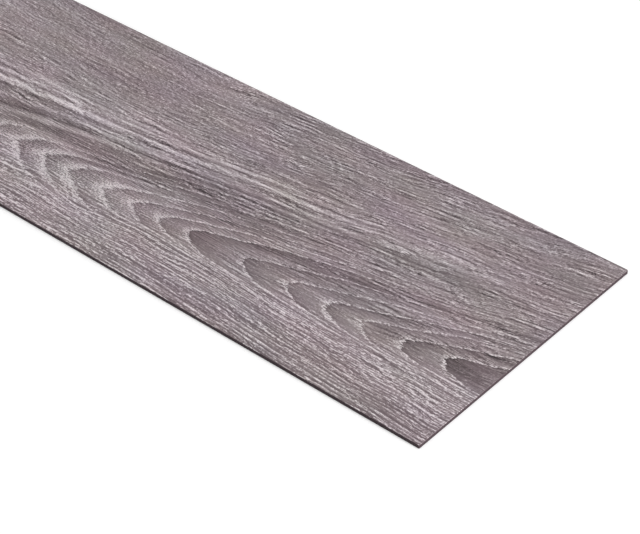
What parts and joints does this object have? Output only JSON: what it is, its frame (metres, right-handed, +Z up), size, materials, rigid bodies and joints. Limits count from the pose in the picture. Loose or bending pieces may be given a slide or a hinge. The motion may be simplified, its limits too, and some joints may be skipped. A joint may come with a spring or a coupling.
{
  "type": "vinyl floor tile",
  "caption": "Thin flexible plank-format floor tile of filled PVC: printed and embossed limed-oak wood face, square die-cut edges, flat glue-down underside.",
  "frame": {"origin": "middle of the underside, the face that is glued to the floor", "axes": "+X along the plank and its wood grain, +Y across it, +Z up out of the printed face"},
  "size_m": [0.9144, 0.1524, 0.002],
  "materials": {
    "printed_vinyl": "matt embossed wear layer over a grey-brown limed-oak print"
  },
  "bodies": {
    "root": {"plank": "printed_vinyl"}
  },
  "joints": []
}
